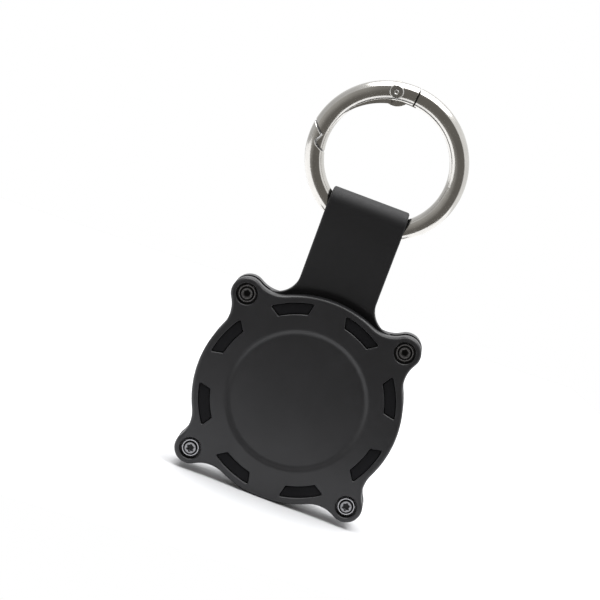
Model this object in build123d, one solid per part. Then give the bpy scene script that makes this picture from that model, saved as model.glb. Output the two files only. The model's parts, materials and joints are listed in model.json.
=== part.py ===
from build123d import *
import os
from math import acos, asin, atan2, cos, degrees, radians, sin, sqrt

# Bluetooth tracker tag: a round tracker in a screwed case, on a moulded rubber strap
# that loops round a spring-gate ring. Millimetres, +Z up, the front faces -Y.
# The origin is the centre of the ring, which is what the tag hangs from.

# ---- ring ----
ring_radius = 15.2          # to the middle of the wire
wire_radius = 2.05
ring_lean = 10.0            # degrees that the ring's top tips towards the front
case_drop = 54.35           # ring centre to case centre, measured with the ring in line

# ---- gate of the ring; angles are from the top of the ring, clockwise seen from the front ----
pin_angle = -11.3
pin_out = 0.35              # pin's centre outside the middle of the wire
seam_angle = 5.7            # square end of the gate, beside the pin
seam_gap = 0.3
seam_break = 0.13           # chamfer round both seams
pin_radius = 0.7
pin_clearance = 0.05
rivet_radius = 1.5
rivet_height = 0.5
rivet_dimple = 0.35         # height of the dimple's ball centre above the head
rivet_seat = 1.78           # height of the flat that the rivet head sits on
tongue_half = 0.75          # half thickness of the hoop's flat tongue inside the gate
gate_room = 28              # degrees that the tongue leaves free for the gate to open
tongue_root = 2             # degrees that the tongue reaches into the hoop
channel_half = 0.86         # half width of the gate's channel
channel_roof = 16.65        # radius of the channel's roof
channel_end = -46.0         # where the channel stops
knuckle_radius = 3.45       # tongue round the pin, on the inner side of the ring
heel_radius = 1.02          # tongue round the pin, on the outer side, under the roof
nose_seam = [(-17.99, 4.2), (-14.76, 1.04), (-15.62, -0.57), (-15.12, -1.27), (-11.84, -3.5)]
cheek_rim = [(13.6, -60), (13.0, -36), (12.7, -15)]    # inner edge of the gate's cheeks
cheek_half = 1.3
spring_wire = 0.14          # radius
spring_radius = 0.55
spring_turns = 7
spring_pitch = 0.6
spring_angle = -33.4        # middle of the coil, between the tongue and the channel's end

# ---- strap ----
strap_half = 8.6            # half width
fold_half = 8.42            # half width at the top of the fold
fold_taper = 2.0            # height over which the fold narrows
root_half_thick = 1.5       # half thickness where the strap meets the case
bend_half_thick = 2.36      # at the bend below the loop
fold_half_thick = 3.3
fold_top = 8.8              # ring centre down to the top of the fold, ring in line
bore_clearance = 0.5        # round the wire, so that the ring can lean in the loop
fold_wall = 0.75
loop_shoulder = 1.6         # how far the upper bend's seat stays above its axis
bend_shoulder = 1.1         # how far the lower bend's seat stays below its axis
bend_clearance = 0.15
loop_bend_z = -7.6          # bend below the loop, from the loop's own middle
flare_radius = 5.0          # hollow curve from the strap's edge into the liner's rim

# ---- case ----
body_radius = 22.6
ear_distance = 25.2         # case centre to each screw
ear_radius = 3.5
ear_blend = 6.75            # hollow curve from ear to body
ear_angles = [45, 135, 225, 315]
liner_half = 0.75           # half thickness of the liner's rim between the covers
front_thick = 2.8
back_thick = 3.25           # of the back cover at its ears
case_back = 8.9             # liner's middle plane back to the case's rear face
edge_round = 0.7
edge_break = 0.2
disc_inner = 14.1           # foot of the sunk disc's sloping rim
disc_outer = 15.6
disc_depth = 0.4
dome_radius = 19.6
dome_round = 1.8
pocket_radius = 17.8
front_wall = 1.6
back_wall = 1.5
slot_count = 8
slot_inner = 18.6
slot_outer = 21.1
slot_inner_half = 3.15
slot_outer_half = 4.7
slot_corner = 0.3
pad_gap = 0.12
pad_sunk = 0.3              # pads lie this far below the front face
window_break = 0.12         # on the windows' edges and the pads'
rim_inset = 0.25            # liner's rim is this much smaller than the covers

# ---- fasteners ----
counterbore_radius = 2.38
head_radius = 1.97
head_seat = 2.0             # height of the seat in front of the liner's middle plane
head_height = 1.0
head_crown_radius = 1.5
head_crown_height = 0.3
star_radius = 0.95
star_depth = 0.75
screw_radius = 0.98
screw_length = 5.0
screw_hole = 1.15
insert_radius = 1.6
insert_bore = 1.02
insert_length = 2.5
insert_groove = 0.25

# ---- seal of the back cover ----
seal_radius = 20.0
seal_section = 0.5
seal_slack = 0.02

# ---- liner cup ----
cup_inner = 16.05
cup_outer = 17.6
cup_front = 1.85
cup_floor = 0.6
cup_window = 11.0

# ---- tracker, a round puck ----
puck_radius = 15.95
puck_front = 1.35           # its front face, in front of the liner's middle plane
puck_thick = 8.0
puck_wall = 1.2
puck_round = 1.6
shell_length = 6.2          # front shell, front to back
door_radius = 12.6
door_thick = 0.5
door_rim = 1.3
board_radius = 14.2
board_hole = 5.2
board_thick = 0.6
board_back = -1.2
board_notch = 0.8
tray_thick = 0.5
tray_gap = 0.05
tray_wall = 0.9
tray_rim_gap = 0.2          # between the cell and the tray's wall
tray_rim_start = 1.0        # wall starts this far in front of the cell's back
tray_notch = 3.0            # three finger notches in the wall's back edge
tray_notch_depth = 1.0
tray_gate = (3.6, 8.9, 12.9)    # opening for the side strip: width, nearest and farthest
cell_radius = 10.0
cell_thick = 3.2
cell_can = 0.85             # share of the thickness that the wide can takes
cell_gap = 0.1              # behind the cell
strip_thick = 0.2           # sprung contact strips
strip_width = 2.6           # of the strip at the cell's side
strip_foot = 1.6
hub_radius = 2.4            # plate under the cell's sprung fingers
finger_start = 1.9
finger_end = 5.3
finger_tip = 0.4
finger_width = 1.3
sound_hole_radius = 0.75
sound_hole_circle = 9.0
sound_hole_count = 6
magnet_radius = 3.4
magnet_front = 0.05
coil_inner = 3.75
coil_outer = 4.5
coil_length = 0.9

# ---- on the board's front: distance out, angle from the top, width, depth, height ----
shield_block = (9.8, 180, 8.4, 6.2, 0.6)
shield_hollow = (9.8, 180, 8.0, 5.8, 0.48)
radio_block = (9.8, 180, 5.0, 5.0, 0.4)
motion_block = (9.6, 120, 2.5, 2.5, 0.6)
memory_block = (9.6, 245, 3.0, 2.0, 0.5)
crystal_block = (10.6, 146, 2.0, 1.6, 0.5)
passive_block = (0.6, 1.0, 0.35)
passive_step = 12
outer_passives = (11.6, 270, 360)   # distance out, first angle, last angle
inner_passives = (7.6, 60, 108)
antenna_radius = 13.4
antenna_thick = 0.3
antenna_height = 0.6
loop_radius = 13.0          # printed near-field coil
loop_width = 0.6
loop_pitch = 1.2
loop_thick = 0.1
loop_count = 4
loop_link = (0.8, 4.0, 11.0)    # width, length and distance out of the bar across the rings

# ---- places worked out from the sizes above ----
case_front = liner_half + front_thick
puck_back = puck_front - puck_thick
board_front = board_back + board_thick
loop_reach = (ring_radius + sqrt(ring_radius**2 - strap_half**2)) / 2
loop_y = loop_reach * sin(radians(ring_lean))
loop_z = -loop_reach * cos(radians(ring_lean))
case_z = loop_z - (case_drop - loop_reach)
root_seat = root_half_thick + bend_clearance
loop_seat = bend_half_thick + bend_clearance

ring_place = Rot(90 + ring_lean, 0, 0)
strap_place = Pos(0, loop_y, loop_z)
case_place = Pos(0, loop_y, case_z) * Rot(90, 0, 0)


def polar(radius, angle):
    """Point at an angle in degrees, clockwise from the top."""
    return Vector(radius * sin(radians(angle)), radius * cos(radians(angle)))


def arc_about(centre, start, end):
    """Short arc from start to end about a centre."""
    radius = (start - centre).length
    middle = centre + ((start - centre) + (end - centre)).normalized() * radius
    return ThreePointArc(start, middle, end)


def disc(radius, low, high, x=0.0, y=0.0):
    """Round solid standing along local Z between two heights."""
    return Pos(x, y, (low + high) / 2) * Cylinder(radius, high - low)


def tube(outer, inner, low, high):
    return disc(outer, low, high) - disc(inner, low, high)


def slab(face, low, high):
    """Flat face pulled into a plate between two heights."""
    return Pos(0, 0, low) * extrude(face, high - low)


def bar(left, right, near, far, low, high):
    """Box between two limits along each axis."""
    middle = Pos((left + right) / 2, (near + far) / 2, (low + high) / 2)
    return middle * Box(right - left, far - near, high - low)


def rim_edges(solid, height):
    """Every edge that lies flat at one height."""
    return solid.edges().filter_by_position(Axis.Z, height - 0.001, height + 0.001)


# ---------------------------------------------------------------- case outline

def blend_spread():
    """Angle between an ear and the middle of the hollow curve beside it."""
    reach = body_radius + ear_blend
    across = ear_radius + ear_blend
    return degrees(acos((reach**2 + ear_distance**2 - across**2) / (2 * reach * ear_distance)))


def case_outline(inset=0.0):
    """Round body and four ears as one chain of tangent arcs."""
    body = body_radius - inset
    ear = ear_radius - inset
    reach = body_radius + ear_blend
    spread = blend_spread()
    edges = []
    for angle in ear_angles:
        ear_centre = polar(ear_distance, angle)
        before = polar(reach, angle - spread)
        after = polar(reach, angle + spread)
        foot_before = polar(body, angle - spread)
        foot_after = polar(body, angle + spread)
        side_before = ear_centre + (before - ear_centre).normalized() * ear
        side_after = ear_centre + (after - ear_centre).normalized() * ear
        next_foot = polar(body, angle + 90 - spread)
        edges.append(arc_about(before, foot_before, side_before))
        edges.append(ThreePointArc(side_before, polar(ear_distance + ear, angle), side_after))
        edges.append(arc_about(after, side_after, foot_after))
        edges.append(ThreePointArc(foot_after, polar(body, angle + 45), next_foot))
    return make_face(edges)


def slot_outline(gap=0.0):
    """Window with round inner and outer edges and flared ends, centred on the top."""
    inner = slot_inner + gap
    outer = slot_outer - gap
    inner_angle = degrees(asin((slot_inner_half - gap) / inner))
    outer_angle = degrees(asin((slot_outer_half - gap) / outer))
    edges = [
        ThreePointArc(polar(inner, -inner_angle), polar(inner, 0), polar(inner, inner_angle)),
        Line(polar(inner, inner_angle), polar(outer, outer_angle)),
        ThreePointArc(polar(outer, outer_angle), polar(outer, 0), polar(outer, -outer_angle)),
        Line(polar(outer, -outer_angle), polar(inner, -inner_angle)),
    ]
    window = make_face(edges)
    return fillet(window.vertices(), slot_corner - gap)


def eight_of(solid):
    """Copies of a window or pad, midway between the ears and the main directions."""
    step = 360 / slot_count
    return [Rot(0, 0, step * (turn + 0.5)) * solid for turn in range(slot_count)]


def window_edges(cover):
    """Edges where the eight windows open into the front face."""
    return rim_edges(cover, case_front).filter_by(
        lambda edge: slot_inner - edge_break < Vector(edge.center().X, edge.center().Y).length
        < slot_outer + edge_break)


def sunk_disc(face_height):
    """Cutter for a sunk disc whose rim is an S-shaped slope, cut into an upward face."""
    half_width = (disc_outer - disc_inner) / 2
    half_depth = disc_depth / 2
    turn = 2 * atan2(half_depth, half_width)
    radius = half_width / sin(turn)
    top = Vector(disc_outer, face_height)
    middle = Vector(disc_inner + half_width, face_height - half_depth)
    foot = Vector(disc_inner, face_height - disc_depth)
    upper = ThreePointArc(
        top, top + Vector(-radius * sin(turn / 2), radius * (cos(turn / 2) - 1)), middle)
    lower = ThreePointArc(
        middle, foot + Vector(radius * sin(turn / 2), radius * (1 - cos(turn / 2))), foot)
    axis_low = Vector(0, face_height - disc_depth)
    axis_high = Vector(0, face_height + 1)
    rim_high = Vector(disc_outer, face_height + 1)
    profile = make_face([upper, lower, Line(foot, axis_low), Line(axis_low, axis_high),
                         Line(axis_high, rim_high), Line(rim_high, top)])
    return revolve(Plane.XZ * profile, Axis.Z)


# ------------------------------------------------------------------ case parts

def front_cover():
    cover = slab(case_outline(), liner_half, case_front)
    cover = fillet(rim_edges(cover, case_front), edge_round)
    cover = chamfer(rim_edges(cover, liner_half), edge_break)
    cover -= disc(pocket_radius, liner_half, case_front - front_wall)
    cover -= sunk_disc(case_front)
    for window in eight_of(slab(slot_outline(), liner_half, case_front)):
        cover -= window
    cover = chamfer(window_edges(cover), window_break)
    for angle in ear_angles:
        spot = polar(ear_distance, angle)
        bore = disc(counterbore_radius, head_seat, case_front, spot.X, spot.Y)
        cover -= bore + disc(screw_hole, liner_half, head_seat, spot.X, spot.Y)
        mouth = cover.edges().filter_by(GeomType.CIRCLE).group_by(Axis.Z)[-1]
        mouth = mouth.filter_by(lambda edge: abs(edge.radius - counterbore_radius) < 0.01)
        near = mouth.sort_by(lambda edge: (edge.arc_center - Vector(spot.X, spot.Y, case_front)).length)
        cover = chamfer(near[0:1], edge_break / 2)
    return cover


def back_cover():
    plate = slab(case_outline(), -liner_half - back_thick, -liner_half)
    plate = fillet(rim_edges(plate, -liner_half - back_thick), edge_round)
    plate = chamfer(rim_edges(plate, -liner_half), edge_break)
    dome = disc(dome_radius, -case_back, -liner_half - edge_break)
    dome = fillet(rim_edges(dome, -case_back), dome_round)
    cover = plate + dome
    cover -= disc(pocket_radius, -case_back + back_wall, -liner_half)
    cover -= Rot(180, 0, 0) * sunk_disc(case_back)
    groove = seal_section + seal_slack
    groove_floor = -liner_half - 2 * groove
    cover -= tube(seal_radius + groove + edge_break, seal_radius - groove - edge_break,
                  groove_floor, -liner_half)
    for angle in ear_angles:
        spot = polar(ear_distance, angle)
        cover -= disc(insert_radius, -liner_half - insert_length - edge_break, -liner_half,
                      spot.X, spot.Y)
    for index in range(sound_hole_count):
        spot = polar(sound_hole_circle, 360 * index / sound_hole_count)
        cover -= disc(sound_hole_radius, -case_back, -case_back + back_wall, spot.X, spot.Y)
    return cover


def liner():
    """Rubber cup round the tracker, its rim between the covers and its eight pads."""
    rim = slab(case_outline(rim_inset), -liner_half, liner_half)
    cup = disc(cup_outer, puck_back - cup_floor, cup_front)
    body = rim + cup
    body -= disc(cup_inner, puck_back, cup_front)
    body -= disc(cup_window, puck_back - cup_floor, puck_back)
    pad = slab(slot_outline(pad_gap), liner_half, case_front - pad_sunk)
    for placed in eight_of(fillet(rim_edges(pad, case_front - pad_sunk), window_break)):
        body += placed
    for angle in ear_angles:
        spot = polar(ear_distance, angle)
        body -= disc(screw_hole, -liner_half, liner_half, spot.X, spot.Y)
    return body


def flare():
    """Centre of the hollow curve at the strap's root, and where it meets the rim."""
    curve = polar(body_radius + ear_blend, ear_angles[0] - blend_spread())
    room = ear_blend + rim_inset - flare_radius
    x = strap_half + flare_radius
    centre = Vector(x, curve.Y - sqrt(room**2 - (x - curve.X)**2))
    touch = curve + (centre - curve).normalized() * (ear_blend + rim_inset)
    return centre, touch


flare_centre, flare_touch = flare()
root_bend = flare_centre.Y + bend_shoulder + edge_break


def strap_root():
    """Foot of the strap: thin between the covers, full thickness above them."""
    top = root_bend - bend_shoulder
    low = body_radius - 2 * ear_blend / 3
    foot = Pos(0, (top + low) / 2) * Rectangle(2 * flare_touch.X, top - low)
    for side in (-1, 1):
        foot -= Pos(side * flare_centre.X, flare_centre.Y) * Circle(flare_radius)
        middle = (top + flare_centre.Y) / 2
        foot -= Pos(side * flare_centre.X, middle) * Rectangle(
            2 * flare_radius, top - flare_centre.Y)
    thin = slab(foot - case_outline(rim_inset), -liner_half, liner_half)
    thick = slab(foot - case_outline(-edge_round / 2), -root_half_thick, root_half_thick)
    seat = Pos(0, root_bend, 0) * Rot(0, 90, 0) * Cylinder(root_seat, 2 * body_radius)
    return thin + thick - seat


def cover_screws():
    """Four M2 screws with round stepped heads and six-lobed drives."""
    head_top = head_seat + head_height
    crown_top = head_top + head_crown_height
    head = disc(head_radius, head_seat, head_top)
    head = chamfer(rim_edges(head, head_top), edge_break)
    crown = disc(head_crown_radius, head_top, crown_top)
    crown = fillet(rim_edges(crown, crown_top), edge_break)
    shank = disc(screw_radius, head_seat - screw_length, head_seat)
    shank = chamfer(rim_edges(shank, head_seat - screw_length), edge_break)
    screw = head + crown + shank
    lobe = star_radius / 4
    star = Circle(star_radius - lobe)
    for index in range(6):
        spot = polar(star_radius - lobe, 60 * index)
        star += Pos(spot.X, spot.Y) * Circle(lobe)
    screw -= slab(star, crown_top - star_depth, crown_top)
    spots = [polar(ear_distance, angle) for angle in ear_angles]
    return Compound([Pos(spot.X, spot.Y, 0) * screw for spot in spots])


def threaded_inserts():
    """Four brass sleeves set into the back cover's ears."""
    top = -liner_half - edge_break / 2
    body = disc(insert_radius, top - insert_length, top)
    body -= disc(insert_bore, top - insert_length, top)
    middle = top - insert_length / 2
    waist = insert_radius - insert_groove
    body -= tube(insert_radius, waist, middle - insert_groove, middle + insert_groove)
    body = chamfer(body.edges().filter_by(GeomType.CIRCLE).group_by(Axis.Z)[0].sort_by(
        lambda edge: edge.radius)[-1:], insert_groove / 2)
    spots = [polar(ear_distance, angle) for angle in ear_angles]
    return Compound([Pos(spot.X, spot.Y, 0) * body for spot in spots])


def back_seal():
    return Pos(0, 0, -liner_half - seal_section - seal_slack) * Torus(seal_radius, seal_section)


def foam_pad():
    """Soft disc that keeps the tracker from rattling against the front cover."""
    room = case_front - front_wall
    return disc(disc_inner, puck_front + seal_slack, room - seal_slack)


# --------------------------------------------------------------- tracker parts

def tracker_front_shell():
    shell = disc(puck_radius, puck_front - shell_length, puck_front)
    shell = fillet(rim_edges(shell, puck_front), puck_round)
    inner_top = puck_front - puck_wall
    hollow = disc(puck_radius - puck_wall, puck_front - shell_length, inner_top)
    hollow = fillet(rim_edges(hollow, inner_top), puck_round / 2)
    return shell - hollow


def tracker_rear_ring():
    """Ring that closes the back of the shell round the battery door."""
    split = puck_front - shell_length
    ring = disc(puck_radius, puck_back, split)
    ring = fillet(rim_edges(ring, puck_back), puck_round / 2)
    ring += disc(puck_radius - puck_wall - tray_gap, split, split + puck_wall)
    ring -= disc(door_radius + tray_gap, puck_back, puck_back + door_rim)
    ring -= disc(door_radius - puck_wall, puck_back + door_rim, split + puck_wall)
    return ring


def battery_door():
    """Pressed steel lid with a turned rim, flush with the back of the tracker."""
    lid = disc(door_radius, puck_back, puck_back + door_rim - seal_slack)
    lid = fillet(rim_edges(lid, puck_back), door_thick)
    rim = door_radius - door_thick
    lid -= disc(rim - seal_section * 2, puck_back + door_thick, puck_back + door_rim)
    lid -= tube(rim, rim - seal_section * 2, puck_back + door_thick / 2 + edge_break,
                puck_back + door_rim)
    return lid


def door_seal():
    """Flat rubber ring pressed between the door and the rear ring."""
    rim = door_radius - door_thick
    low = puck_back + door_thick
    return tube(rim - seal_slack, rim - 2 * seal_section + seal_slack, low,
                low + door_rim - door_thick - seal_slack)


cell_back = puck_back + door_thick + cell_gap


def coin_cell():
    """Button cell: wide can towards the door, smaller cap towards the board."""
    can = disc(cell_radius, cell_back, cell_back + cell_can * cell_thick)
    can = fillet(rim_edges(can, cell_back), edge_break)
    cap = disc(cell_radius - puck_wall, cell_back, cell_back + cell_thick)
    return can + fillet(rim_edges(cap, cell_back + cell_thick), edge_break)


tray_front = board_back - tray_gap
tray_back = tray_front - tray_thick
tray_rim_back = cell_back + tray_rim_start


def battery_tray():
    """Moulded floor under the board with a wall round the cell."""
    tray = disc(board_radius, tray_back, tray_front)
    wall = cell_radius + tray_rim_gap
    tray += tube(wall + tray_wall, wall, tray_rim_back, tray_back)
    for index in range(3):
        spot = polar(wall, 60 + 120 * index)
        notch = Box(tray_notch, tray_notch, 2 * tray_notch_depth)
        tray -= Pos(spot.X, spot.Y, tray_rim_back) * notch
    width, near, far = tray_gate
    return tray - bar(-width / 2, width / 2, near, far, tray_rim_back, tray_front)


def negative_contact():
    """Three sprung fingers on a small plate that press on the cell's cap."""
    high = tray_back - tray_gap
    low = cell_back + cell_thick + tray_gap
    half = finger_width / 2
    plate = disc(hub_radius, high - strip_thick, high)
    finger = bar(finger_start, finger_end, -half, half, high - strip_thick, high)
    finger += bar(finger_end - finger_tip, finger_end, -half, half, low, high)
    for index in range(3):
        plate += Rot(0, 0, 120 * index) * finger
    return plate


def positive_contact():
    """Bent strip that touches the side of the cell and runs up to the board."""
    inner = cell_radius + tray_gap
    half = strip_width / 2
    strip = bar(-half, half, inner, inner + strip_thick, tray_rim_back, tray_front)
    return strip + bar(-half, half, inner, inner + strip_foot, tray_front - strip_thick, tray_front)


def circuit_board():
    board = disc(board_radius, board_back, board_front)
    board -= disc(board_hole, board_back, board_front)
    for index in range(3):
        spot = polar(board_radius, 30 + 120 * index)
        board -= disc(board_notch, board_back, board_front, spot.X, spot.Y)
    return board


def on_board(radius, angle, width, depth, height):
    """Small block standing on the board's front, turned to follow the board."""
    block = bar(-width / 2, width / 2, radius - depth / 2, radius + depth / 2,
                board_front, board_front + height)
    return Rot(0, 0, -angle) * block


def radio_shield():
    """Folded tin lid over the radio."""
    return on_board(*shield_block) - on_board(*shield_hollow)


def radio_chip():
    return on_board(*radio_block)


def motion_sensor():
    return on_board(*motion_block)


def memory_chip():
    return on_board(*memory_block)


def clock_crystal():
    return on_board(*crystal_block)


def board_passives():
    """Capacitors and resistors in two arcs round the board."""
    blocks = []
    for radius, first, last in (outer_passives, inner_passives):
        for angle in range(first, last, passive_step):
            blocks.append(on_board(radius, angle, *passive_block))
    return Compound(blocks)


def radio_antenna():
    """Curved metal strip standing near the board's edge."""
    strip = tube(antenna_radius, antenna_radius - antenna_thick,
                 board_front, board_front + antenna_height)
    return strip - bar(-board_radius, board_radius, -board_radius, 0,
                       board_front, board_front + antenna_height)


def sounder_magnet():
    return disc(magnet_radius, tray_front, magnet_front)


def sounder_coil():
    """Voice coil fixed behind the front wall, round the magnet."""
    high = puck_front - puck_wall
    return tube(coil_outer, coil_inner, high - coil_length, high)


def near_field_coil():
    """Flat printed coil on the inside of the front wall."""
    high = puck_front - puck_wall
    low = high - loop_thick
    width, length, out = loop_link
    coil = bar(-width / 2, width / 2, out - length / 2, out + length / 2, low, high)
    for ring in range(loop_count):
        outer = loop_radius - loop_pitch * ring
        coil += tube(outer, outer - loop_width, low, high)
    return coil


# ----------------------------------------------------------------- strap parts

def side_prism(profile, half_width):
    """Side view in the YZ plane pulled to both sides along X."""
    return extrude(Plane.YZ * profile, half_width, both=True)


def strap_loop():
    """Fold round the wire, thinning below it towards the first bend."""
    bore = wire_radius + bore_clearance
    top = loop_reach - fold_top
    crown = top - fold_half_thick
    bore_top = top - fold_wall - bore
    bore_low = loop_reach - ring_radius - wire_radius + bore - bore_clearance
    shoulder = loop_bend_z + loop_shoulder
    outline = make_face([
        ThreePointArc((-fold_half_thick, crown), (0, top), (fold_half_thick, crown)),
        Line((fold_half_thick, crown), (fold_half_thick, bore_low)),
        Line((fold_half_thick, bore_low), (bend_half_thick, loop_bend_z)),
        Line((bend_half_thick, loop_bend_z), (-bend_half_thick, loop_bend_z)),
        Line((-bend_half_thick, loop_bend_z), (-fold_half_thick, bore_low)),
        Line((-fold_half_thick, bore_low), (-fold_half_thick, crown)),
    ])
    hole = Pos(0, bore_top) * Circle(bore) + Pos(0, bore_low) * Circle(bore)
    hole += Pos(0, (bore_top + bore_low) / 2) * Rectangle(2 * bore, bore_top - bore_low)
    seat = Pos(0, loop_bend_z) * Circle(loop_seat)
    loop = side_prism(outline - hole - seat, strap_half)
    front_view = make_face(Polyline(
        (-strap_half, shoulder), (strap_half, shoulder), (strap_half, top - fold_taper),
        (fold_half, top), (-fold_half, top), (-strap_half, top - fold_taper), close=True))
    return loop & extrude(Plane.XZ * front_view, 2 * fold_half_thick, both=True)


def strap_web():
    """Tapered run of strap between the two places where it bends."""
    low = -(case_drop - loop_reach) + root_bend
    profile = make_face(Polyline(
        (-bend_half_thick, loop_bend_z), (bend_half_thick, loop_bend_z),
        (root_half_thick, low), (-root_half_thick, low), close=True))
    profile += Pos(0, loop_bend_z) * Circle(bend_half_thick)
    profile += Pos(0, low) * Circle(root_half_thick)
    return side_prism(profile, strap_half)


# ------------------------------------------------------------------ ring parts

pin_spot = polar(ring_radius + pin_out, pin_angle)


def gate_plan(gap):
    """Plan of the gate's stretch of the ring, drawn back from its seams by a gap."""
    seam = [Vector(*point) for point in nose_seam]
    inner_seam = polar(ring_radius - 2 * wire_radius, seam_angle)
    outer_seam = polar(ring_radius + 2 * wire_radius, seam_angle)
    far = 2 * ring_radius
    plan = make_face(Polyline(
        *seam, polar(ring_radius / 2, 300), inner_seam, outer_seam,
        polar(far, 0), polar(far, 300), close=True))
    return offset(plan, -gap, kind=Kind.INTERSECTION) if gap else plan


def broken(solid):
    """Solid with its seam edges chamfered, its straight edges and plain rings left alone."""
    edges = solid.edges().filter_by(
        lambda edge: edge.geom_type not in (GeomType.LINE, GeomType.CIRCLE))
    return chamfer(edges, seam_break)


def tongue():
    """Flat end of the hoop round the pin, as thick as the gate's channel allows."""
    under_roof = channel_roof - pin_clearance * 2
    arm = Circle(under_roof) - Circle(ring_radius - wire_radius)
    first = polar(2 * ring_radius, pin_angle)
    last = polar(2 * ring_radius, seam_angle + tongue_root)
    arm &= make_face(Polyline((0, 0), first, last, close=True))
    heel = Pos(pin_spot.X, pin_spot.Y) * Circle(heel_radius)
    knuckle = Pos(pin_spot.X, pin_spot.Y) * Circle(knuckle_radius)
    half_plane = Pos(0, -knuckle_radius) * Rectangle(4 * knuckle_radius, 2 * knuckle_radius)
    inner_side = Pos(pin_spot.X, pin_spot.Y) * Rot(0, 0, -pin_angle) * half_plane
    under_open_roof = Pos(pin_spot.X, pin_spot.Y) * Rot(0, 0, gate_room - pin_angle) * half_plane
    plan = arm + heel + (knuckle & inner_side & under_open_roof)
    body = slab(plan, -tongue_half, tongue_half)
    return fillet(body.edges().filter_by(GeomType.CIRCLE).filter_by(
        lambda edge: abs(edge.radius - knuckle_radius) < 0.01), seam_break)


def ring_hoop():
    """Wire ring less the gate, with the tongue that carries the gate's pin."""
    hoop = Torus(ring_radius, wire_radius)
    hoop = broken(hoop - slab(gate_plan(0), -2 * wire_radius, 2 * wire_radius))
    hoop += tongue() & Torus(ring_radius, knuckle_radius)
    return hoop - disc(pin_radius + pin_clearance, -wire_radius, wire_radius, pin_spot.X, pin_spot.Y)


def gate_channel():
    """Space inside the gate for the tongue and the spring."""
    plan = Circle(channel_roof) - Circle(ring_radius / 2)
    first = polar(2 * ring_radius, channel_end)
    last = polar(2 * ring_radius, 3 * seam_angle)
    plan &= make_face(Polyline((0, 0), first, last, close=True))
    return slab(plan, -channel_half, channel_half)


def gate_cheeks():
    """Thin walls of the gate that stand a little inside the wire, on both sides."""
    first, middle, last = [polar(radius, angle) for radius, angle in cheek_rim]
    plan = make_face([
        ThreePointArc(first, middle, last),
        Line(last, polar(ring_radius, cheek_rim[2][1])),
        ThreePointArc(polar(ring_radius, cheek_rim[2][1]), polar(ring_radius, cheek_rim[1][1]),
                      polar(ring_radius, cheek_rim[0][1])),
        Line(polar(ring_radius, cheek_rim[0][1]), first),
    ])
    return slab(plan, -cheek_half, cheek_half)


def gate_arm():
    arm = Torus(ring_radius, wire_radius)
    arm &= slab(gate_plan(seam_gap), -2 * wire_radius, 2 * wire_radius)
    swing = (ring_radius + pin_out) * sin(radians(seam_angle - pin_angle)) - seam_gap
    reach = 2 * wire_radius
    end = Pos(swing + reach, 0) * Box(2 * reach, 4 * reach, 2 * reach)
    end = Pos(pin_spot.X, pin_spot.Y) * Rot(0, 0, -seam_angle) * end
    arm -= end - disc(swing, -wire_radius, wire_radius, pin_spot.X, pin_spot.Y)
    arm = broken(arm) + gate_cheeks()
    arm -= gate_channel()
    arm -= disc(pin_radius, -wire_radius, wire_radius, pin_spot.X, pin_spot.Y)
    for side in (-1, 1):
        low, high = sorted((side * rivet_seat, side * 2 * wire_radius))
        arm -= disc(rivet_radius + pin_clearance, low, high, pin_spot.X, pin_spot.Y)
    return arm


def gate_pin():
    """Rivet through the gate's cheeks and the tongue, dimpled at both ends."""
    top = rivet_seat + rivet_height
    pin = disc(pin_radius, -rivet_seat, rivet_seat)
    for side in (-1, 1):
        low, high = sorted((side * rivet_seat, side * top))
        head = disc(rivet_radius, low, high)
        pin += chamfer(rim_edges(head, side * top), edge_break)
        pin -= Pos(0, 0, side * (top + rivet_dimple)) * Sphere(pin_radius)
    return Pos(pin_spot.X, pin_spot.Y, 0) * pin


def gate_spring():
    """Closed coil lying in the gate's channel beyond the tongue."""
    length = spring_turns * spring_pitch
    middle = polar(ring_radius + spring_radius / 2, spring_angle)
    helix = Helix(spring_pitch, length, spring_radius)
    start = Plane(origin=helix @ 0, z_dir=helix % 0)
    coil = sweep(start * Circle(spring_wire), path=helix, is_frenet=True)
    along = Rot(0, 0, -spring_angle) * Rot(0, 90, 0)
    return Pos(middle.X, middle.Y, 0) * along * Pos(0, 0, -length / 2) * coil


# ------------------------------------------------------------------- all parts

PARTS = [
    (ring_place, [ring_hoop, gate_arm, gate_pin, gate_spring]),
    (strap_place, [strap_loop, strap_web]),
    (case_place, [strap_root, front_cover, back_cover, liner, back_seal, cover_screws,
                  threaded_inserts, foam_pad]),
    (case_place, [tracker_front_shell, tracker_rear_ring, battery_door, door_seal, coin_cell,
                  battery_tray, negative_contact, positive_contact, circuit_board, radio_shield,
                  radio_chip, motion_sensor, memory_chip, clock_crystal, board_passives,
                  radio_antenna, sounder_magnet, sounder_coil, near_field_coil]),
]

for place, makers in PARTS:
    for maker in makers:
        export_step(place * maker(), "parts/" + maker.__name__ + ".step")

print("loop axis y, z:", round(loop_y, 3), round(loop_z, 3))
print("case centre z:", round(case_z, 3))
print("bend below loop z:", round(loop_z + loop_bend_z, 3))
print("bend at root z:", round(case_z + root_bend, 3))
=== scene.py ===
import json
import math

import bmesh
import bpy
from mathutils import Matrix, Vector


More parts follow.
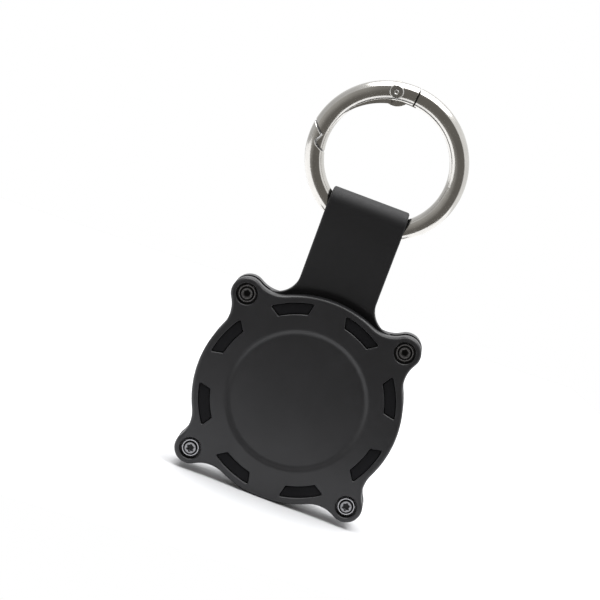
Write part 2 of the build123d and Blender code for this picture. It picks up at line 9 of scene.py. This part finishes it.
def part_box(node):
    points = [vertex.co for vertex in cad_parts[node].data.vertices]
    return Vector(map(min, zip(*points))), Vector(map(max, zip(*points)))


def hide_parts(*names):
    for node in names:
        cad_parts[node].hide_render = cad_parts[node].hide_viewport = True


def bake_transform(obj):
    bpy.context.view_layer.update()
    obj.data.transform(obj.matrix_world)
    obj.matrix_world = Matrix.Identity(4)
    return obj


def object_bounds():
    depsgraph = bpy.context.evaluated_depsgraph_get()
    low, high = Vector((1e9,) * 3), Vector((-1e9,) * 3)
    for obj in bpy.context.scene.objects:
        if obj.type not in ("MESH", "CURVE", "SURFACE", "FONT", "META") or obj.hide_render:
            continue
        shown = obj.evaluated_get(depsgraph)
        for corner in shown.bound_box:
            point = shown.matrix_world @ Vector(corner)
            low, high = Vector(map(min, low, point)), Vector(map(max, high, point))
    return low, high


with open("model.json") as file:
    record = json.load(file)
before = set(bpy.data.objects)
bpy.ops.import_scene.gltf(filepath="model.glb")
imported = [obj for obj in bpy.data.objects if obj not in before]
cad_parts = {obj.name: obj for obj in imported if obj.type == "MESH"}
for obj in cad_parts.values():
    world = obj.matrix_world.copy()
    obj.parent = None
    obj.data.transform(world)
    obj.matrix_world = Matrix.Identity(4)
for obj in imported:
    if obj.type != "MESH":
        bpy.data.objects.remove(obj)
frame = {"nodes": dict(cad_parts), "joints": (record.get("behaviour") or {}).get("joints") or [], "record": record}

MM = 0.001
RING_LEAN = 10               # degrees that the ring's top tips towards the front
EAR_DISTANCE = 25.2 * MM     # case centre to each screw
JOINT_SHADE = 0.22 * MM      # width of the painted shade: dark strip on the covers beside the joint between them
CAD_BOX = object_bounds()
SCENE = bpy.context.scene


# ------------------------------------------------------------ places read from the frame

def joint(name):
    """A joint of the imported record, by name."""
    return next(j for j in frame["joints"] if j["name"] == name)


cover_low, cover_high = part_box("front_cover")
case_z = (cover_low.z + cover_high.z) / 2
front_y = cover_low.y
body_radius = (cover_high.x - cover_low.x) / 2
root_low, root_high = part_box("strap_root")
strap_low, strap_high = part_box("strap_web")
loop_low, loop_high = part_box("strap_loop")
strap_y = (strap_low.y + strap_high.y) / 2
strap_half = strap_high.x
root_half_thick = (root_high.y - root_low.y) / 2
bend_half_thick = (strap_high.y - strap_low.y) / 2
fold_half_thick = (loop_high.y - loop_low.y) / 2
fold_top = loop_high.z
upper_bend = joint("strap_upper_bend")["pos_m"][2]
lower_bend = joint("strap_lower_bend")["pos_m"][2]
floor_z = CAD_BOX[0].z


# ------------------------------------------------------------ camera, floor and light

CAMERA_LENS = 120
CAMERA_PITCH = 8.95          # degrees, looking down
CAMERA_YAW = 1.3
CAMERA_ROLL = 20.44
CAMERA_SIDE = 2.62 * MM      # camera's place, seen from the middle of the case's front
CAMERA_AWAY = 416.4 * MM
CAMERA_UP = 86.2 * MM

DARK_SIDE = (0.168, 0.16, 0.148)     # behind the camera and to its right
LEFT_SIDE = (0.50, 0.49, 0.47)       # dark side's own left end
DARK_EDGE = 0.33             # cosine of the dark side's half angle
DARK_SOFT = 0.06
DARK_TOWARD = (-0.05, -1, -0.25)
DARK_ACROSS = (-0.95, 0.55)  # from the dark side's left end to its right, by direction's X
DARK_FROM = 0.6              # share of that way at which it is fully dark
LEFT_WALL = 0.6              # the left wall's brightness against the right one's
WALL_ACROSS = (-0.9, -0.2)   # direction's X between which the wall brightens
TOP_POWER = 4.3
TOP_HEIGHT = 0.5             # softbox above the case's centre
TOP_SIZE = (0.7, 0.5)
FLOOR_WHITE = (0.82, 0.825, 0.84)
FLOOR_LEFT = -0.22
FLOOR_RIGHT = 0.16
FLOOR_NEAR = -0.052
FLOOR_FAR = 0.27
FLOOR_TURN = 14              # degrees; the pale floor reaches further forward on the left


def make_camera():
    """Long lens, a little above the tag and rolled so that the tag leans to the right."""
    data = bpy.data.cameras.new("camera")
    data.sensor_width = 36
    data.lens = CAMERA_LENS
    data.clip_start = 0.01
    data.clip_end = 20
    camera = bpy.data.objects.new("camera", data)
    SCENE.collection.objects.link(camera)
    camera.matrix_world = (
        Matrix.Translation((CAMERA_SIDE, front_y - CAMERA_AWAY, case_z + CAMERA_UP))
        @ Matrix.Rotation(math.radians(90), 4, "X")
        @ Matrix.Rotation(math.radians(CAMERA_YAW), 4, "Y")
        @ Matrix.Rotation(math.radians(-CAMERA_PITCH), 4, "X")
        @ Matrix.Rotation(math.radians(CAMERA_ROLL), 4, "Z")
    )
    SCENE.camera = camera


def make_floor():
    """Small pale floor under the case, turned to reach further forward on the left."""
    material = bpy.data.materials.new("floor_white")
    material.use_nodes = True
    shader = material.node_tree.nodes["Principled BSDF"]
    shader.inputs["Base Color"].default_value = (*FLOOR_WHITE, 1)
    shader.inputs["Roughness"].default_value = 0.6
    mesh = bpy.data.meshes.new("floor")
    corners = [(FLOOR_LEFT, FLOOR_NEAR, 0), (FLOOR_RIGHT, FLOOR_NEAR, 0),
               (FLOOR_RIGHT, FLOOR_FAR, 0), (FLOOR_LEFT, FLOOR_FAR, 0)]
    mesh.from_pydata(corners, [], [(0, 1, 2, 3)])
    mesh.materials.append(material)
    floor = bpy.data.objects.new("floor", mesh)
    SCENE.collection.objects.link(floor)
    turn = Matrix.Rotation(math.radians(FLOOR_TURN), 4, "Z")
    floor.matrix_world = Matrix.Translation((0, 0, floor_z)) @ turn


def make_softbox():
    """Wide softbox overhead, aimed at the case's front."""
    data = bpy.data.lights.new("top_softbox", "AREA")
    data.shape = "RECTANGLE"
    data.size, data.size_y = TOP_SIZE
    data.energy = TOP_POWER
    light = bpy.data.objects.new("top_softbox", data)
    light.location = (0, 0, case_z + TOP_HEIGHT)
    aim = Vector((0, front_y, case_z)) - light.location
    light.rotation_euler = aim.to_track_quat("-Z", "Y").to_euler()
    SCENE.collection.objects.link(light)


def make_world():
    """White studio all round, with the dark side of the room behind the camera."""
    world = bpy.data.worlds.new("studio")
    world.use_nodes = True
    nodes = world.node_tree.nodes
    links = world.node_tree.links
    nodes.remove(nodes["Background"])

    def background():
        made = nodes.new("ShaderNodeBackground")
        made.inputs["Color"].default_value = (1, 1, 1, 1)
        return made

    def ranged(value, start, end, low=0.0, high=1.0):
        made = nodes.new("ShaderNodeMapRange")
        for socket, number in zip(("From Min", "From Max", "To Min", "To Max"),
                                  (start, end, low, high)):
            made.inputs[socket].default_value = number
        links.new(value, made.inputs["Value"])
        return made

    def mixed(share, first, second):
        made = nodes.new("ShaderNodeMixShader")
        links.new(share, made.inputs[0])
        links.new(first.outputs[0], made.inputs[1])
        links.new(second.outputs[0], made.inputs[2])
        return made

    place = nodes.new("ShaderNodeTexCoord").outputs["Generated"]
    toward = nodes.new("ShaderNodeVectorMath")
    toward.operation = "DOT_PRODUCT"
    toward.inputs[1].default_value = Vector(DARK_TOWARD).normalized()
    links.new(place, toward.inputs[0])
    inside = ranged(toward.outputs["Value"], DARK_EDGE - DARK_SOFT, DARK_EDGE + DARK_SOFT)
    inside.interpolation_type = "SMOOTHSTEP"
    sides = nodes.new("ShaderNodeSeparateXYZ")
    links.new(place, sides.inputs[0])
    across = nodes.new("ShaderNodeValToRGB")
    across.color_ramp.elements[0].color = (*LEFT_SIDE, 1)
    across.color_ramp.elements[1].position = DARK_FROM
    across.color_ramp.elements[1].color = (*DARK_SIDE, 1)
    links.new(ranged(sides.outputs["X"], *DARK_ACROSS).outputs["Result"], across.inputs["Fac"])
    dark = background()
    links.new(across.outputs["Color"], dark.inputs["Color"])
    walls = background()
    left = ranged(sides.outputs["X"], *WALL_ACROSS, LEFT_WALL, 1.0)
    links.new(left.outputs["Result"], walls.inputs["Strength"])
    room = mixed(inside.outputs["Result"], walls, dark)
    seen = nodes.new("ShaderNodeLightPath").outputs["Is Camera Ray"]
    either = mixed(seen, room, background())
    links.new(either.outputs[0], nodes["World Output"].inputs["Surface"])
    SCENE.world = world


def make_light():
    make_world()
    make_softbox()
    SCENE.view_settings.view_transform = "Standard"
    SCENE.view_settings.look = "None"


# ------------------------------------------------------------ materials

class Paint:
    """One procedural material: a Principled shader with colour, roughness and bump from noise."""

    def __init__(self, name):
        self.material = bpy.data.materials.new(name)
        self.material.use_nodes = True
        self.tree = self.material.node_tree
        self.shader = self.tree.nodes["Principled BSDF"]
        self.place = self.tree.nodes.new("ShaderNodeTexCoord").outputs["Object"]

    def node(self, kind, **inputs):
        made = self.tree.nodes.new(kind)
        for socket, value in inputs.items():
            made.inputs[socket.replace("_", " ")].default_value = value
        return made

    def link(self, source, target):
        self.tree.links.new(source, target)

    def mapped(self, **inputs):
        """The piece's coordinates, scaled or turned."""
        mapping = self.node("ShaderNodeMapping", **inputs)
        self.link(self.place, mapping.inputs["Vector"])
        return mapping.outputs["Vector"]

    def separate(self, vector):
        parts = self.node("ShaderNodeSeparateXYZ")
        self.link(vector, parts.inputs[0])
        return parts.outputs

    def combine(self, **axes):
        made = self.node("ShaderNodeCombineXYZ")
        for axis, value in axes.items():
            self.link(value, made.inputs[axis])
        return made.outputs[0]

    def maths(self, operation, value, other=0.0):
        made = self.node("ShaderNodeMath")
        made.operation = operation
        made.inputs[1].default_value = other
        self.link(value, made.inputs[0])
        return made.outputs[0]

    def vector_maths(self, operation, vector, other=(0, 0, 0)):
        """A vector, or a number where the operation is LENGTH."""
        made = self.node("ShaderNodeVectorMath")
        made.operation = operation
        made.inputs[1].default_value = other
        self.link(vector, made.inputs[0])
        return made.outputs["Value" if operation == "LENGTH" else "Vector"]

    def noise(self, size, detail=3.0, stretch=(1, 1, 1)):
        """Noise whose blots are about size metres across, drawn out by stretch."""
        noise = self.node("ShaderNodeTexNoise", Scale=1.0, Detail=detail)
        self.link(self.mapped(Scale=[1 / (size * s) for s in stretch]), noise.inputs["Vector"])
        return noise.outputs["Fac"]

    def spread(self, value, low, high, start=0.3, end=0.7):
        """Value between start and end stretched to a range."""
        ranger = self.node("ShaderNodeMapRange", From_Min=start, From_Max=end,
                           To_Min=low, To_Max=high)
        self.link(value, ranger.inputs["Value"])
        return ranger.outputs["Result"]

    def colour(self, value, dark, light):
        ramp = self.node("ShaderNodeValToRGB")
        ramp.color_ramp.elements[0].position = 0.3
        ramp.color_ramp.elements[1].position = 0.7
        ramp.color_ramp.elements[0].color = (*dark, 1)
        ramp.color_ramp.elements[1].color = (*light, 1)
        self.link(value, ramp.inputs["Fac"])
        self.link(ramp.outputs["Color"], self.shader.inputs["Base Color"])

    def dim(self, share):
        """Multiplies the colour by a value from 0 to 1."""
        mix = self.node("ShaderNodeMix")
        mix.data_type = "RGBA"
        mix.blend_type = "MULTIPLY"
        factor, tone, shade_by, made = mix.inputs[0], mix.inputs[6], mix.inputs[7], mix.outputs[2]
        factor.default_value = 1.0
        base = self.shader.inputs["Base Color"]
        self.link(base.links[0].from_socket, tone)
        self.link(share, shade_by)
        self.link(made, base)

    def roughness(self, value, low, high):
        self.link(self.spread(value, low, high), self.shader.inputs["Roughness"])

    def bump(self, value, depth, strength=1.0):
        """Adds relief of that depth in metres on top of any bump already there."""
        bump = self.node("ShaderNodeBump", Strength=strength, Distance=depth)
        self.link(value, bump.inputs["Height"])
        before = self.shader.inputs["Normal"].links
        if before:
            self.link(before[0].from_socket, bump.inputs["Normal"])
        self.link(bump.outputs["Normal"], self.shader.inputs["Normal"])

    def fixed(self, **values):
        """Values that are the same all over the surface, on the shader's own sockets."""
        for socket, value in values.items():
            self.shader.inputs[socket.replace("_", " ")].default_value = value


def shade(colour, factor):
    return tuple(min(1.0, c * factor) for c in colour)


def mesh_box(piece):
    """Corners of a piece's mesh in its own coordinates."""
    spots = [vert.co for vert in piece.data.vertices]
    low = Vector([min(spot[k] for spot in spots) for k in range(3)])
    high = Vector([max(spot[k] for spot in spots) for k in range(3)])
    return low, high


def moulded(name, colour, roughness, grain=0.12 * MM, relief=0.012 * MM):
    """Moulded plastic: fine etched grain, slightly uneven gloss and tone."""
    paint = Paint(name)
    fine = paint.noise(grain, 2.0)
    broad = paint.noise(9 * MM, 3.0)
    paint.colour(broad, shade(colour, 0.9), shade(colour, 1.1))
    paint.roughness(paint.noise(1.5 * MM), roughness - 0.03, roughness + 0.03)
    paint.bump(fine, relief, 0.5)
    return paint


def cover_plastic(name, colour, roughness):
    """Moulded plastic with painted shade right beside the joint between the two covers: darker and less glossy
    there.
    """
    paint = moulded(name, colour, roughness)
    gap = (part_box("back_cover")[0].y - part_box("front_cover")[1].y) / 2
    away = paint.maths("SUBTRACT", paint.separate(paint.place)["Y"], strap_y)
    away = paint.maths("ABSOLUTE", away)
    # Painted shade: the colour darkens and the specular reflection dims within JOINT_SHADE of the covers' joint.
    clear = paint.spread(away, 0.0, 1.0, gap + JOINT_SHADE, gap + 1.5 * JOINT_SHADE)
    paint.dim(clear)
    gloss = paint.spread(clear, 0.02, 0.5, 0.0, 1.0)
    paint.link(gloss, paint.shader.inputs["Specular IOR Level"])
    return paint


def rubber(name, colour, roughness, sheen=0.04, gloss=0.36):
    """Moulded silicone: soft sheen, faint flow marks and a dusting of fine grain."""
    paint = moulded(name, colour, roughness, 0.2 * MM, 0.01 * MM)
    paint.bump(paint.noise(4 * MM, 2.0), 0.03 * MM, 0.4)
    paint.fixed(Sheen_Weight=sheen, Sheen_Roughness=0.5, Specular_IOR_Level=gloss)
    return paint


def metal(name, colour, roughness, stretch=(1, 1, 1), relief=0.002 * MM):
    """Plated or drawn metal: brushed or buffed noise in its gloss, faint waviness."""
    paint = Paint(name)
    marks = paint.noise(0.3 * MM, 4.0, stretch)
    paint.colour(paint.noise(3 * MM), shade(colour, 0.94), shade(colour, 1.04))
    paint.roughness(marks, roughness * 0.8, roughness * 1.25)
    paint.bump(marks, relief, 0.3)
    paint.fixed(Metallic=1.0)
    return paint


def ring_metal(name, colour, roughness):
    """Polished nickel with fine buffing lines round the ring, and painted shade darkening its colour in its narrow
    gaps.
    """
    paint = metal(name, colour, roughness)
    level = paint.separate(paint.mapped(Rotation=(math.radians(-RING_LEAN), 0, 0)))
    out = paint.vector_maths("LENGTH", paint.combine(X=level["X"], Z=level["Z"]))
    marks = paint.node("ShaderNodeTexNoise", Scale=1 / (0.45 * MM), Detail=2.0)
    paint.link(paint.combine(X=out, Y=level["Y"]), marks.inputs["Vector"])
    paint.bump(marks.outputs["Fac"], 0.035 * MM, 0.5)
    # Painted shade: occlusion darkens the ring's colour in its narrow gaps.
    painted_gap_shade = paint.node("ShaderNodeAmbientOcclusion", Distance=0.6 * MM)
    painted_gap_shade.samples = 16
    paint.dim(paint.spread(painted_gap_shade.outputs["AO"], 0.05, 1.0, 0.3, 0.85))
    return paint


# Painted highlights and painted shade on a screw head: brightness against its colour, by distance from its axis in
# shares of 2 mm
SCREW_PAINTED_LIGHT = ((0.30, 0.1), (0.42, 1.6), (0.56, 1.4), (0.62, 0.05),
               (0.78, 0.05), (0.84, 2.6), (0.93, 2.6), (1.0, 5.0))


def screw_metal_painted_light(name, colour, roughness):
    """Black oxide with painted highlights on each head's rim and round the lobes of its drive, and painted shade
    in the hollow between them and in the drive's centre.
    """
    paint = metal(name, colour, roughness)
    low, high = mesh_box(frame["nodes"]["cover_screws"])
    centred = paint.vector_maths("SUBTRACT", paint.place, (low + high) / 2)
    folded = paint.separate(paint.vector_maths("ABSOLUTE", centred))
    spot = EAR_DISTANCE * math.sqrt(0.5)
    from_axis = paint.combine(X=paint.maths("SUBTRACT", folded["X"], spot),
                              Z=paint.maths("SUBTRACT", folded["Z"], spot))
    out = paint.vector_maths("LENGTH", from_axis)
    # Painted highlights on the rim and round the drive's lobes, painted shade in the hollow between and in the
    # drive's centre.
    rings = paint.node("ShaderNodeValToRGB")
    stops = rings.color_ramp.elements
    while len(stops) < len(SCREW_PAINTED_LIGHT):
        stops.new(1.0)
    for stop, (place, factor) in zip(stops, SCREW_PAINTED_LIGHT):
        stop.position = place
        stop.color = (*shade(colour, factor), 1)
    paint.link(paint.spread(out, 0.0, 1.0, 0.0, 2 * MM), rings.inputs["Fac"])
    paint.link(rings.outputs["Color"], paint.shader.inputs["Base Color"])
    return paint


def board_paint(name, colour):
    """Solder mask: glossy green with a faint weave."""
    paint = moulded(name, colour, 0.3, 0.4 * MM, 0.005 * MM)
    cells = paint.node("ShaderNodeTexVoronoi", Scale=1.0)
    paint.link(paint.mapped(Scale=(1 / (1.4 * MM),) * 3), cells.inputs["Vector"])
    paint.bump(cells.outputs["Distance"], 0.02 * MM, 0.3)
    return paint


PAINTS = {
    "ring_steel": ring_metal("ring_steel", (0.62, 0.605, 0.575), 0.15),
    "pin_steel": metal("pin_steel", (0.56, 0.55, 0.53), 0.2),
    "spring_steel": metal("spring_steel", (0.5, 0.5, 0.52), 0.3),
    "strap_rubber": rubber("strap_rubber", (0.0115, 0.0115, 0.0128), 0.55),
    "liner_rubber": rubber("liner_rubber", (0.013, 0.013, 0.0142), 0.7, 0.0, 0.04),
    "cover_plastic": cover_plastic("cover_plastic", (0.0182, 0.0182, 0.0202), 0.38),
    "seal_rubber": rubber("seal_rubber", (0.02, 0.02, 0.02), 0.5),
    "screw_steel": screw_metal_painted_light("screw_steel", (0.2, 0.2, 0.208), 0.28),
    "insert_brass": metal("insert_brass", (0.7, 0.5, 0.22), 0.25),
    "foam": moulded("foam", (0.05, 0.05, 0.055), 0.9, 0.3 * MM, 0.15 * MM),
    "tracker_plastic": moulded("tracker_plastic", (0.8, 0.8, 0.78), 0.22),
    "door_steel": metal("door_steel", (0.6, 0.6, 0.62), 0.25, (12, 1, 1)),
    "cell_steel": metal("cell_steel", (0.62, 0.62, 0.63), 0.2),
    "tray_plastic": moulded("tray_plastic", (0.08, 0.08, 0.085), 0.5),
    "contact_metal": metal("contact_metal", (0.75, 0.58, 0.3), 0.22),
    "board_laminate": board_paint("board_laminate", (0.02, 0.09, 0.05)),
    "shield_tin": metal("shield_tin", (0.6, 0.6, 0.58), 0.35, (1, 6, 1)),
    "chip_resin": moulded("chip_resin", (0.02, 0.02, 0.022), 0.55),
    "passive_ceramic": moulded("passive_ceramic", (0.25, 0.18, 0.12), 0.45),
    "antenna_copper": metal("antenna_copper", (0.72, 0.38, 0.22), 0.25),
    "magnet_plating": metal("magnet_plating", (0.55, 0.55, 0.57), 0.18),
}


def paint_frame():
    """Gives every carried-over CAD node the material of its slot."""
    for part in frame["record"]["subparts"]:
        node = frame["nodes"][part["node"]]
        material = PAINTS[part["material_slot"]].material
        node.data.materials.clear()
        node.data.materials.append(material)


# ------------------------------------------------------------ strap

EDGE = 0.45 * MM             # rounding along the strap's edges
ROUND_STEPS = 5              # points along that rounding
ACROSS_STEPS = 24            # steps across the strap's flat
FLARE = 5.0 * MM             # hollow curve at the strap's root
FLARE_X = strap_half + FLARE
EAR_RADIUS = 3.5 * MM
EAR_HOLLOW = 6.75 * MM       # radius of the hollow between ear and body
HOLLOW_FROM = 25             # degrees from the top to where the ear's hollow takes over
RIM_INSET = 0.25 * MM
FOLD_WALL = 0.75 * MM
THIN = 0.72 * MM             # half thickness between the covers
THIN_FROM = 0.1 * MM         # outside the covers' outline, where the thinning ends
THIN_RUN = 1.6 * MM
LEAST_HALF = 0.05 * MM       # half thickness at the very edge of the thin part
SWELL = 0.14                 # slope of the strap's half thickness at the upper bend
SWELL_BELOW = 1.0 * MM       # the swelling starts this far below the lower bend
SWELL_ABOVE = 1.5 * MM       # and ends this far above the hole's lower centre
DRAW = 0.18 * MM             # each side draws in this much over the top of the fold
DRAW_SPAN = 2.2 * MM
MEETING = (upper_bend + lower_bend) / 2      # height where the strap's two pieces meet
bore = fold_half_thick - FOLD_WALL
bore_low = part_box("ring_hoop")[0].z - 0.5 * MM + bore


def ear_hollow_centre():
    """Centre of the hollow beside the upper right ear, seen from the case's centre."""
    far = body_radius + EAR_HOLLOW
    across = EAR_RADIUS + EAR_HOLLOW
    spread = math.acos((far ** 2 + EAR_DISTANCE ** 2 - across ** 2) / (2 * far * EAR_DISTANCE))
    angle = math.radians(45) - spread
    return Vector((far * math.sin(angle), far * math.cos(angle)))


EAR_CURVE = ear_hollow_centre()


def smooth_step(value):
    """Eases from 0 to 1, and holds outside that range."""
    s = min(max(value, 0), 1)
    return s * s * (3 - 2 * s)


def hermite(a, b, slope_a, slope_b, z_a, z_b, z):
    """Smooth curve from height z_a to z_b with given values and slopes at both."""
    run = z_b - z_a
    s = (z - z_a) / run
    return ((2 * s ** 3 - 3 * s ** 2 + 1) * a + (s ** 3 - 2 * s ** 2 + s) * run * slope_a
            + (3 * s ** 2 - 2 * s ** 3) * b + (s ** 3 - s ** 2) * run * slope_b)


def strap_thickness(z):
    """Half thickness of the strap at a height: it swells evenly from the case to the fold."""
    start = lower_bend - SWELL_BELOW
    end = bore_low + SWELL_ABOVE
    if z <= start:
        return root_half_thick
    if z <= upper_bend:
        return hermite(root_half_thick, bend_half_thick, 0, SWELL, start, upper_bend, z)
    if z <= end:
        return hermite(bend_half_thick, fold_half_thick, SWELL, 0, upper_bend, end, z)
    return fold_half_thick


def new_piece(name, verts, faces, slot):
    """Smooth-shaded piece with its faces turned outwards and its slot's material."""
    mesh = bpy.data.meshes.new(name)
    mesh.from_pydata(verts, [], faces)
    mesh.validate()
    work = bmesh.new()
    work.from_mesh(mesh)
    bmesh.ops.recalc_face_normals(work, faces=work.faces)
    work.to_mesh(mesh)
    work.free()
    piece = bpy.data.objects.new(name, mesh)
    SCENE.collection.objects.link(piece)
    mesh.shade_smooth()
    mesh.set_sharp_from_angle(angle=math.radians(50))
    mesh.materials.append(PAINTS[slot].material)
    return piece


def section_columns(half_width):
    """(x, inward offset) across the strap: quarter rounds at the edges, even steps between."""
    turns = [math.pi / 2 * k / ROUND_STEPS for k in range(ROUND_STEPS, -1, -1)]
    left = [(-half_width + EDGE - EDGE * math.sin(t), EDGE * (1 - math.cos(t))) for t in turns]
    inner = half_width - EDGE
    middle = [(-inner + 2 * inner * k / ACROSS_STEPS, 0.0) for k in range(1, ACROSS_STEPS)]
    right = [(-x, offset) for x, offset in reversed(left)]
    return left + middle + right


def band(first, second):
    """Quads between two closed rings of vertex numbers."""
    count = len(first)
    steps = [(k, (k + 1) % count) for k in range(count)]
    return [(first[k], first[after], second[after], second[k]) for k, after in steps]


def outside_cover(x, z):
    """How far a point of the strap's plane lies outside the covers' outline."""
    if math.atan2(abs(x), z) < math.radians(HOLLOW_FROM):
        return Vector((x, z)).length - body_radius
    return max(EAR_HOLLOW - (Vector((abs(x), z)) - EAR_CURVE).length, 0)


def flare_height():
    """Height of the flare's centre above the case's centre."""
    room = EAR_HOLLOW + RIM_INSET - FLARE
    return EAR_CURVE.y - math.sqrt(room ** 2 - (FLARE_X - EAR_CURVE.x) ** 2)


def root_rows():
    """(height above case centre, half width) from the meeting line down to inside the covers."""
    straight, curved = 14, 12
    centre_z = flare_height()
    top = MEETING - case_z
    rows = [(top + (centre_z - top) * k / straight, strap_half) for k in range(straight)]
    for k in range(curved + 1):
        turn = math.pi / 2 * k / curved
        rows.append((centre_z - FLARE * math.sin(turn), FLARE_X - FLARE * math.cos(turn)))
    rows.append((centre_z - FLARE - 0.5 * MM, FLARE_X))
    rows.append((centre_z - FLARE - 1.2 * MM, FLARE_X))
    return rows


def make_strap_root():
    """Lower half of the strap, thinning where it goes in between the covers."""
    verts, rings = [], []
    for height, half_width in root_rows():
        full = strap_thickness(case_z + height)
        columns = section_columns(half_width)
        around = [(-1, column) for column in columns] + [(1, column) for column in columns[::-1]]
        rings.append(range(len(verts), len(verts) + len(around)))
        for side, (x, offset) in around:
            ease = smooth_step((outside_cover(x, height) - THIN_FROM) / THIN_RUN)
            half = max(THIN + (full - THIN) * ease - offset, LEAST_HALF)
            verts.append((x, strap_y + side * half, case_z + height))
    faces = [face for upper, lower in zip(rings, rings[1:]) for face in band(upper, lower)]
    faces.append(tuple(rings[0]))
    faces.append(tuple(reversed(rings[-1])))
    piece = new_piece("strap_lower", verts, faces, "strap_rubber")
    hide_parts("strap_root", "strap_web")
    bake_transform(piece)


def arc(centre, radius, start, end, steps):
    """Points on an arc in the strap's side view, angles in degrees from +Y towards +Z."""
    turns = [math.radians(start + (end - start) * k / steps) for k in range(steps + 1)]
    return [Vector((centre[0] + radius * math.cos(a), centre[1] + radius * math.sin(a)))
            for a in turns]


def line(start, end, steps):
    """Points between start and end, without either."""
    a, b = Vector(start), Vector(end)
    return [a.lerp(b, k / steps) for k in range(1, steps)]


def fold_profiles():
    """Side views of the fold: its outer face, from front foot to back foot, and its hole."""
    rise, crown_steps, side_steps, bore_steps = 40, 28, 8, 24
    crown = fold_top - fold_half_thick
    bore_top = fold_top - FOLD_WALL - bore
    heights = [MEETING + (crown - MEETING) * k / rise for k in range(rise)]
    front = [Vector((-strap_thickness(z), z)) for z in heights]
    over = arc((0, crown), fold_half_thick, 180, 0, crown_steps)
    outer = front + over + [Vector((-p.x, p.y)) for p in reversed(front)]
    hole = arc((0, bore_top), bore, 180, 0, bore_steps)
    hole += line((bore, bore_top), (bore, bore_low), side_steps)
    hole += arc((0, bore_low), bore, 0, -180, bore_steps)
    hole += line((-bore, bore_low), (-bore, bore_top), side_steps)
    return outer, hole


def normals_2d(points, closed):
    """Left-hand normals of a chain of points."""
    last = len(points) - 1
    found = []
    for k, point in enumerate(points):
        before = points[k - 1] if closed or k > 0 else point
        after = points[(k + 1) % len(points)] if closed or k < last else point
        along = (after - before).normalized()
        found.append(Vector((-along.y, along.x)))
    return found


def drawn_in(x, height):
    """Place across the strap once its sides have drawn in over the top of the fold."""
    wide = strap_half - DRAW * smooth_step((height - (fold_top - DRAW_SPAN)) / DRAW_SPAN)
    inset = strap_half - abs(x)
    if inset < 2 * EDGE:
        return math.copysign(wide - inset, x)
    return x * (wide - 2 * EDGE) / (strap_half - 2 * EDGE)


def make_strap_fold():
    """Upper half of the strap with the fold round the wire."""
    outer, hole = fold_profiles()
    verts = []
    outer_rings, hole_rings = [], []
    sides = ((outer, normals_2d(outer, False), outer_rings, -1),
             (hole, normals_2d(hole, True), hole_rings, 1))
    for x, offset in section_columns(strap_half):
        for points, normals, rings, inward in sides:
            rings.append(range(len(verts), len(verts) + len(points)))
            for point, normal in zip(points, normals):
                spot = point + normal * (inward * offset)
                verts.append((drawn_in(x, spot.y), strap_y + spot.x, spot.y))
    faces = [face for a, b in zip(outer_rings, outer_rings[1:]) for face in band(a, b)]
    faces += [face for a, b in zip(hole_rings, hole_rings[1:]) for face in band(b, a)]
    for end in (0, -1):
        faces += fill_between(verts, outer_rings[end], hole_rings[end])
    piece = new_piece("strap_fold", verts, faces, "strap_rubber")
    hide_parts("strap_loop")
    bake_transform(piece)


def fill_between(verts, outer_ring, hole_ring):
    """Triangles that close the side of the fold, round its hole."""
    work = bmesh.new()
    found = {}
    for ring in (outer_ring, hole_ring):
        made = [work.verts.new(verts[i]) for i in ring]
        found.update(zip(made, ring))
        for k, vert in enumerate(made):
            work.edges.new((vert, made[(k + 1) % len(made)]))
    bmesh.ops.triangle_fill(work, edges=work.edges, use_beauty=True, use_dissolve=False)
    faces = [tuple(found[v] for v in face.verts) for face in work.faces]
    work.free()
    return faces


# ------------------------------------------------------------ build

make_camera()
make_floor()
make_light()
paint_frame()
make_strap_root()
make_strap_fold()
